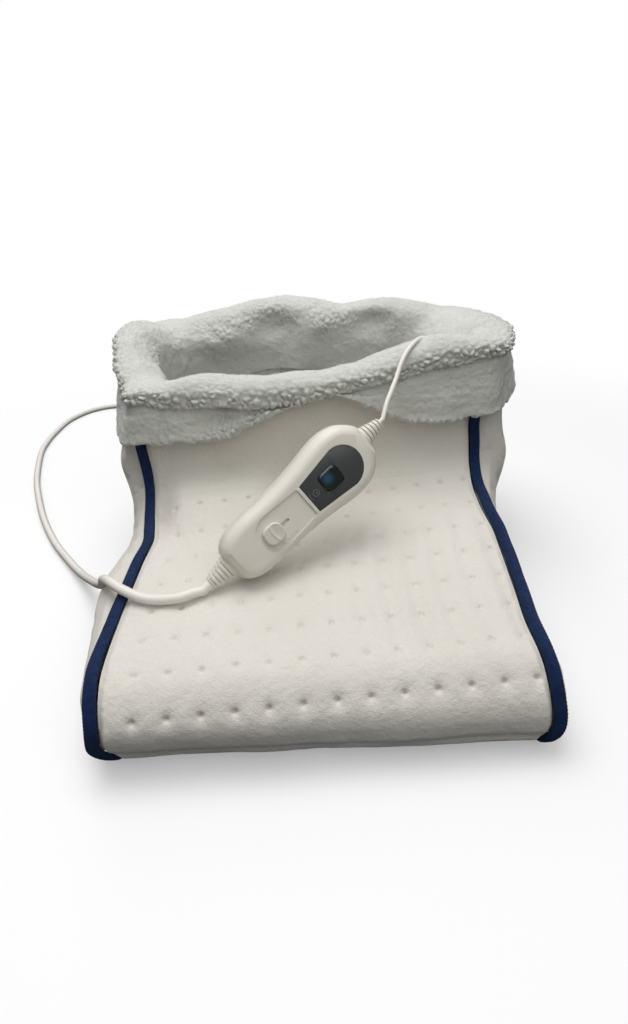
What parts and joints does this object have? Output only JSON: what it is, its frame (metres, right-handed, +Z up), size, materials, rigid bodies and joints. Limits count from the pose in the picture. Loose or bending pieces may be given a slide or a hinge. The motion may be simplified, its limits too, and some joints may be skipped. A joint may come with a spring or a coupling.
{
  "type": "electric foot warmer",
  "caption": "Soft quilted heated boot for both feet with a rolled fleece cuff, a slide controller hanging on its lead and a coiled mains lead with a plug.",
  "frame": {"origin": "under the middle of the boot and its controller, on the floor", "axes": "+Z up, -Y towards the toe, +X to the wearer's right"},
  "size_m": [0.5111, 0.6318, 0.1985],
  "materials": {
    "quilted_white": "brushed polyester, welded dots",
    "plain_white": "woven lining cloth",
    "fleece_white": "sherpa pile",
    "navy_tape": "woven bias tape",
    "felt": "needled felt",
    "wire_red": "insulated wire",
    "moulded_white": "fine moulded",
    "smoked_window": "polished",
    "black_glass": "polished",
    "brass": "satin",
    "plated_steel": "plated",
    "board_green": "lacquered",
    "cord_white": "smooth",
    "tie_grey": "matt"
  },
  "bodies": {
    "boot": {"front_panel": "quilted_white", "back_panel": "quilted_white", "shaft_panel": "plain_white", "sole_panel": "plain_white", "gusset_left": "quilted_white", "gusset_right": "quilted_white", "binding_left": "navy_tape", "binding_right": "navy_tape", "lining_band": "fleece_white", "lining_left": "fleece_white", "lining_right": "fleece_white", "fleece_cuff": "fleece_white", "wadding": "felt", "heater_felt": "felt", "heating_wire": "wire_red", "thermal_cutout_left": "black_glass", "thermal_cutout_right": "black_glass", "wire_junction": "black_glass", "controller_top": "moulded_white", "controller_base": "moulded_white", "display_window": "smoked_window", "display": "black_glass", "contact_bank": "black_glass", "circuit_board": "board_green", "fuse": "plated_steel", "film_capacitor": "brass", "triac": "black_glass", "case_screw_1": "plated_steel", "case_screw_2": "plated_steel", "case_screw_3": "plated_steel", "case_screw_4": "plated_steel", "mains_relief": "moulded_white", "lead_relief": "moulded_white", "mains_cord": "cord_white", "mains_coil": "cord_white", "plug_cord": "cord_white", "lead_cord": "cord_white", "lead_tail": "cord_white", "coil_tie": "tie_grey", "plug_body": "cord_white", "plug_pin_left": "plated_steel", "plug_pin_right": "plated_steel"},
    "switch_slide": {"slide_knob": "moulded_white", "slide_contact": "brass"}
  },
  "joints": [
    {"name": "heat_switch", "type": "slide", "parent": "boot", "child": "switch_slide", "axis": [0.7539, 0.452, 0.4769], "range_m": [0, 0.011]}
  ]
}
